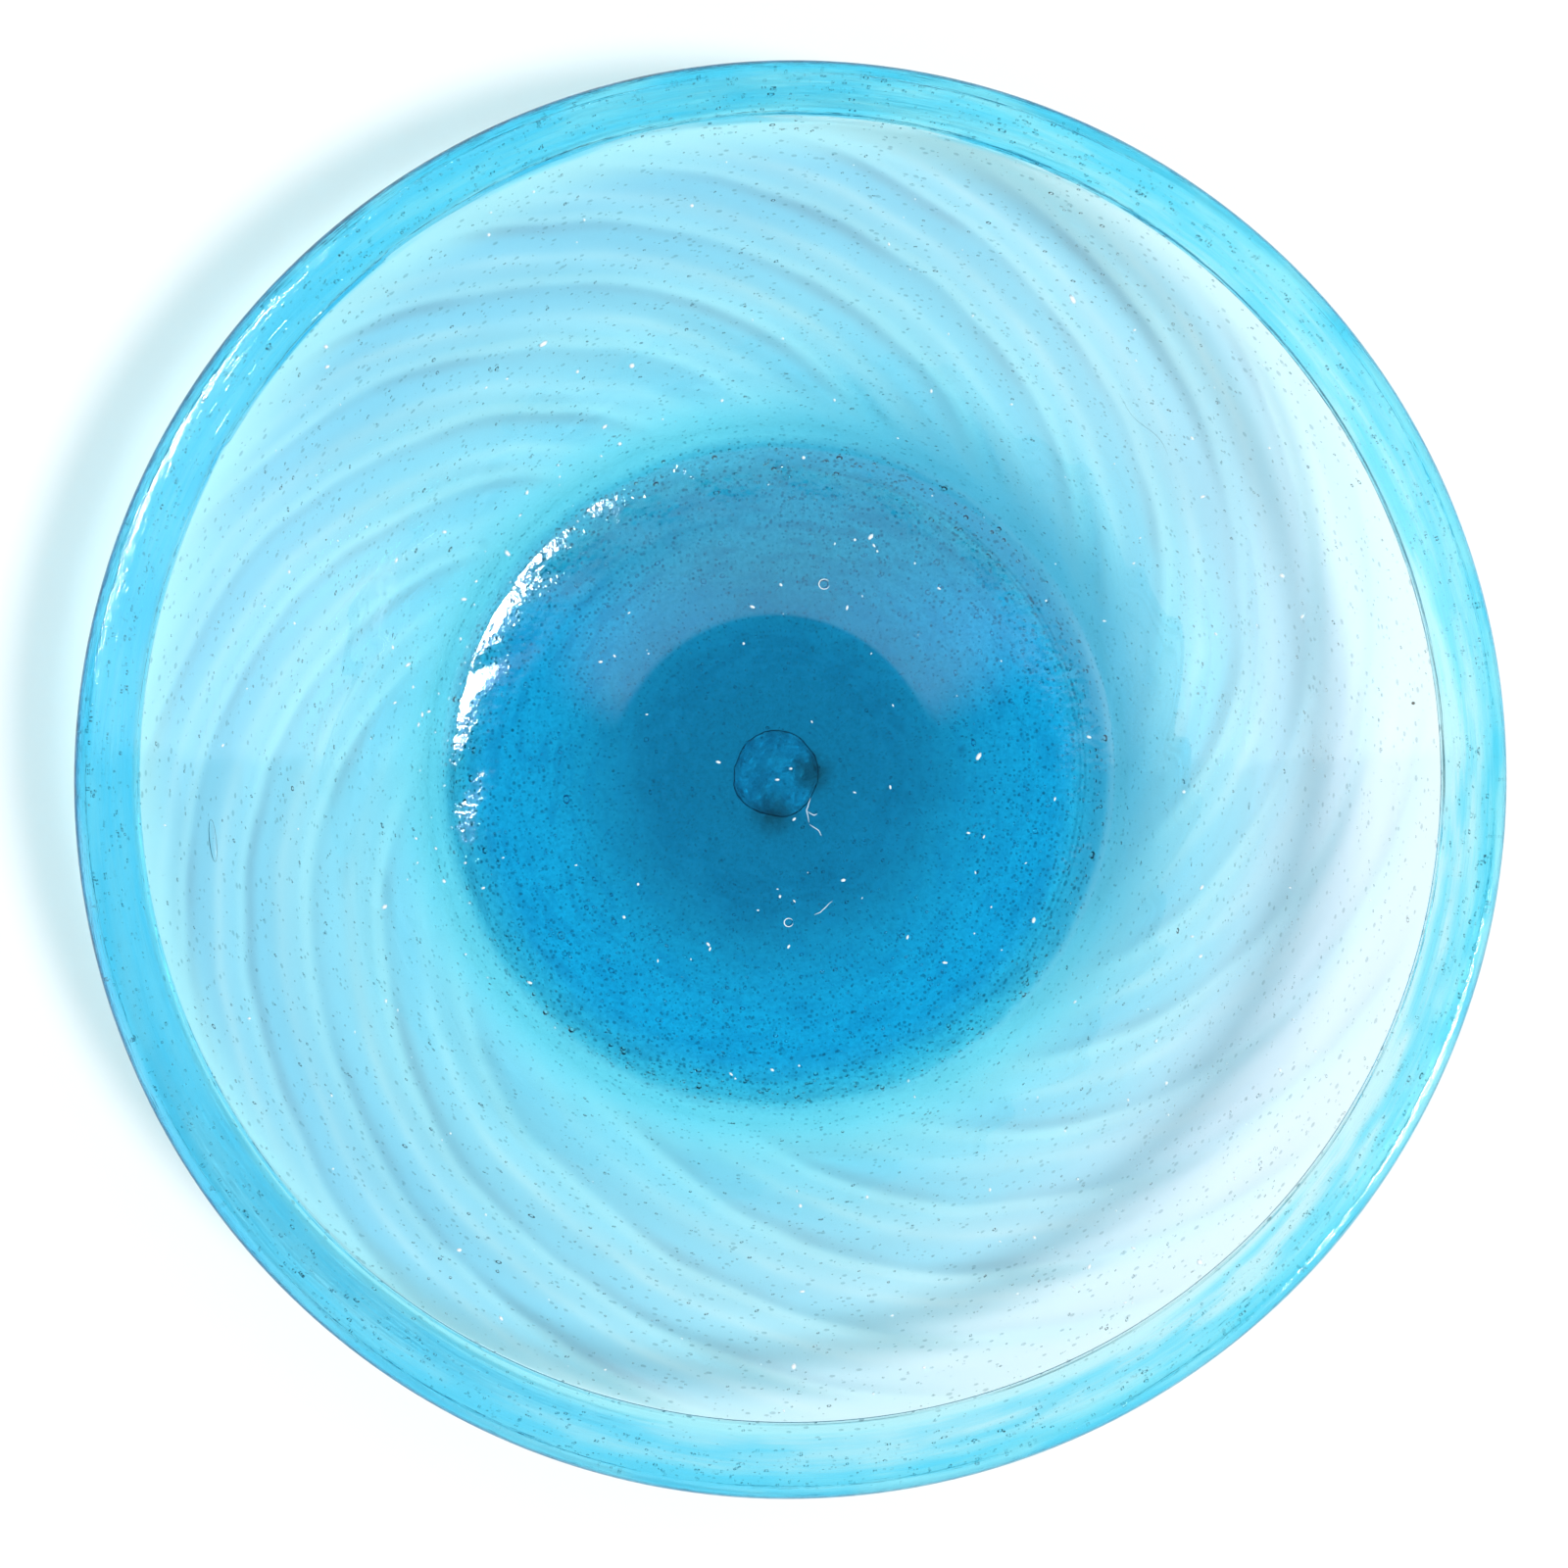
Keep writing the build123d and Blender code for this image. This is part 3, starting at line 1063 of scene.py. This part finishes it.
def set_table(scene, settings):
    """A white table top that the bowl stands on."""
    bm = bmesh.new()
    bmesh.ops.create_grid(bm, x_segments=1, y_segments=1, size=3.0)
    bmesh.ops.translate(bm, verts=bm.verts, vec=(0, 0, -0.0002))
    mesh = bpy.data.meshes.new("table_top")
    bm.to_mesh(mesh)
    bm.free()
    material, shader = new_material("white_table")
    paint = shader.node(
        "ShaderNodeBsdfPrincipled", None,
        {"Base Color": (*settings.floor_colour, 1), "Roughness": 0.8, "Specular IOR Level": 0.0},
    )
    shader.node("ShaderNodeOutputMaterial", None, {"Surface": paint["BSDF"]})
    mesh.materials.append(material)
    table = bpy.data.objects.new("table_top", mesh)
    scene.collection.objects.link(table)


def light_room(scene, settings):
    """A white room whose ceiling and windows show in the gloss of the glass."""
    world = bpy.data.worlds.new("room")
    scene.world = world
    shader = Shader(world)
    rays = shader.node("ShaderNodeLightPath")
    look = shader.node("ShaderNodeTexCoord")["Generated"]
    parts = shader.node("ShaderNodeSeparateXYZ", None, {"Vector": look})
    toward_back = parts["Y"] * -1.0
    off_x = parts["X"] - 0.092
    off_y = parts["Y"] + 0.026
    away = (off_x * off_x + off_y * off_y) ** 0.5
    ceiling = toward_back.ramp(0.055, 0.085) * away.ramp(0.070, 0.095)
    ceiling = ceiling * (1 - toward_back.ramp(0.35, 0.6))
    bright_side = 0.35 + 0.65 * (parts["X"] * -1.0).ramp(0.1, 0.6)
    horizon = bright_side * (1 - parts["Z"].ramp(0.5, 0.9))
    glossy = 0.10 + 1.22 * ceiling + horizon
    seen = rays["Is Camera Ray"].highest(rays["Is Transmission Ray"])
    plain = settings.room * (1 - seen) + seen
    gloss = rays["Is Glossy Ray"]
    strength = plain * (1 - gloss) + gloss * glossy
    sky = shader.node("ShaderNodeBackground", None, {"Color": CLEAR, "Strength": strength})
    shader.node("ShaderNodeOutputWorld", None, {"Surface": sky["Background"]})


def direction(lean, bearing):
    """Unit vector that leans this far from straight up, to this side."""
    return Vector((sin(lean) * cos(bearing), sin(lean) * sin(bearing), cos(lean)))


def hang_lamp(scene, settings):
    """One soft lamp, high up on one side."""
    lamp = bpy.data.lights.new("lamp", "SUN")
    lamp.energy = settings.lamp
    lamp.angle = settings.lamp_spread
    aim = direction(settings.lamp_lean, settings.lamp_bearing)
    key = bpy.data.objects.new("lamp", lamp)
    key.rotation_euler = aim.to_track_quat("Z", "Y").to_euler()
    key.location = aim
    scene.collection.objects.link(key)
    key.visible_transmission = False


def set_camera(scene, settings):
    """A camera over the bowl, a few degrees off its axis."""
    lens = bpy.data.cameras.new("camera")
    lens.angle = 2 * atan(HALF_VIEW / settings.camera_height)
    camera = bpy.data.objects.new("camera", lens)
    back = direction(settings.camera_lean, settings.camera_bearing)
    side = Vector((0, 1, 0)).cross(back).normalized()
    up = back.cross(side)
    place = back * settings.camera_height + Vector((AIM_OFFSET, 0, CAD_BOX[1][2]))
    camera.matrix_world = Matrix.Translation(place) @ Matrix((side, up, back)).transposed().to_4x4()
    scene.collection.objects.link(camera)
    scene.camera = camera


# --- operators --------------------------------------------------------------------------

class OBJECT_OT_blown_bowl(bpy.types.Operator):
    """Build the ribbed glass bowl with its folded rim"""
    bl_idname = "glassbowl.blown_bowl"
    bl_label = "Blown Bowl"

    def execute(self, context):
        scene = context.scene
        bm = build_bowl_mesh(scene.bowl_shape)
        glass = blown_glass(scene.bowl_glass, scene.bowl_shape)
        bowl = finish_piece("blown_bowl", bm, glass)
        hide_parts("base_disc", "swirl_wall", "rim_fold")
        return {"FINISHED"}


class OBJECT_OT_seeds(bpy.types.Operator):
    """Scatter the seed bubbles in the wall, the fold and the base"""
    bl_idname = "glassbowl.seeds"
    bl_label = "Seed Bubbles"

    def execute(self, context):
        scene = context.scene
        line = Line(scene.bowl_shape)
        material = seed_glass(scene.bowl_glass)
        dice = random.Random(12)
        for name, slot, scatter in (
            ("wall_seeds", "wall_glass", scatter_wall_seeds),
            ("fold_seeds", "rim_glass", scatter_fold_seeds),
            ("base_seeds", "base_glass", scatter_base_seeds),
        ):
            seeds = Seeds()
            scatter(seeds, scene.bowl_seeds, line, dice)
            finish_piece(name, seeds.gather(), material)
        return {"FINISHED"}


class OBJECT_OT_large_bubbles(bpy.types.Operator):
    """Draw the large bubbles, the air line in the fold and the long hair of air"""
    bl_idname = "glassbowl.large_bubbles"
    bl_label = "Large Bubbles"

    def execute(self, context):
        line = Line(context.scene.bowl_shape)
        material = seed_glass(context.scene.bowl_glass)
        bm = bmesh.new()
        for x, y, size in FLOOR_BUBBLES:
            draw_ball(bm, Vector((x, y, 0.0058)), 0.4, (size, size * 0.92, size * 0.45), 4)
        finish_piece("ring_bubbles", bm, material)
        bm = bmesh.new()
        turn = atan2(-12, -122)
        blister = in_wall(line, 0.1226, turn, 0.5)
        draw_ball(bm, blister, turn + pi / 2, (0.0045, 0.0009, 0.00025), 4)
        finish_piece("flat_blister", bm, material)
        finish_piece("hair_of_air", draw_hair(line), material)
        finish_piece("fold_air_line", draw_fold_air(line), material)
        return {"FINISHED"}


class OBJECT_OT_surface_marks(bpy.types.Operator):
    """Add the scratches, the painted highlight rims and painted glint specks on the inside, and the
    stones in the wall
    """
    bl_idname = "glassbowl.surface_marks"
    bl_label = "Surface Marks"

    def execute(self, context):
        line = Line(context.scene.bowl_shape)
        pale = bruised_glass()
        finish_piece("floor_scratches", draw_scratches_and_rim_highlights(line), pale)
        # Painted glints: pale specks that stand in for sparkles of light.
        finish_piece("pale_specks", draw_painted_glints(line), pale)
        finish_piece("stone_specks", draw_stones(line), unmelted_stone())
        return {"FINISHED"}


class OBJECT_OT_pontil_scar(bpy.types.Operator):
    """Build the rough scar under the base"""
    bl_idname = "glassbowl.pontil_scar"
    bl_label = "Pontil Scar"

    def execute(self, context):
        material = chipped_glass(context.scene.bowl_glass)
        scar = finish_piece("pontil_scar_glass", build_scar_mesh(), material)
        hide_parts("pontil_scar")
        return {"FINISHED"}


class OBJECT_OT_bowl_stage(bpy.types.Operator):
    """Set out the table, the lamp, the room and the camera"""
    bl_idname = "glassbowl.stage"
    bl_label = "Stage"

    def execute(self, context):
        scene = context.scene
        settings = scene.bowl_stage
        set_table(scene, settings)
        light_room(scene, settings)
        hang_lamp(scene, settings)
        set_camera(scene, settings)
        scene.view_settings.view_transform = "Standard"
        return {"FINISHED"}


class VIEW3D_PT_glass_bowl(bpy.types.Panel):
    """Settings and steps of the glass bowl"""
    bl_label = "Glass Bowl"
    bl_space_type = "VIEW_3D"
    bl_region_type = "UI"
    bl_category = "Glass Bowl"

    def draw(self, context):
        layout = self.layout
        for name in ("bowl_shape", "bowl_glass", "bowl_seeds", "bowl_stage"):
            group = getattr(context.scene, name)
            box = layout.box()
            for prop in group.bl_rna.properties:
                if prop.identifier not in ("rna_type", "name"):
                    box.prop(group, prop.identifier)
        for operator in OPERATORS:
            layout.operator(operator.bl_idname)


OPERATORS = (
    OBJECT_OT_blown_bowl, OBJECT_OT_seeds, OBJECT_OT_large_bubbles, OBJECT_OT_surface_marks,
    OBJECT_OT_pontil_scar, OBJECT_OT_bowl_stage,
)
SETTINGS = {
    "bowl_shape": BowlShapeSettings,
    "bowl_glass": GlassSettings,
    "bowl_seeds": SeedSettings,
    "bowl_stage": StageSettings,
}


def register():
    for group in SETTINGS.values():
        bpy.utils.register_class(group)
    for name, group in SETTINGS.items():
        setattr(bpy.types.Scene, name, bpy.props.PointerProperty(type=group))
    for operator in OPERATORS:
        bpy.utils.register_class(operator)
    bpy.utils.register_class(VIEW3D_PT_glass_bowl)


def unregister():
    bpy.utils.unregister_class(VIEW3D_PT_glass_bowl)
    for operator in reversed(OPERATORS):
        bpy.utils.unregister_class(operator)
    for name, group in SETTINGS.items():
        delattr(bpy.types.Scene, name)
        bpy.utils.unregister_class(group)


def main():
    register()
    for operator in OPERATORS:
        package, name = operator.bl_idname.split(".")
        getattr(getattr(bpy.ops, package), name)()


if __name__ == "__main__":
    main()
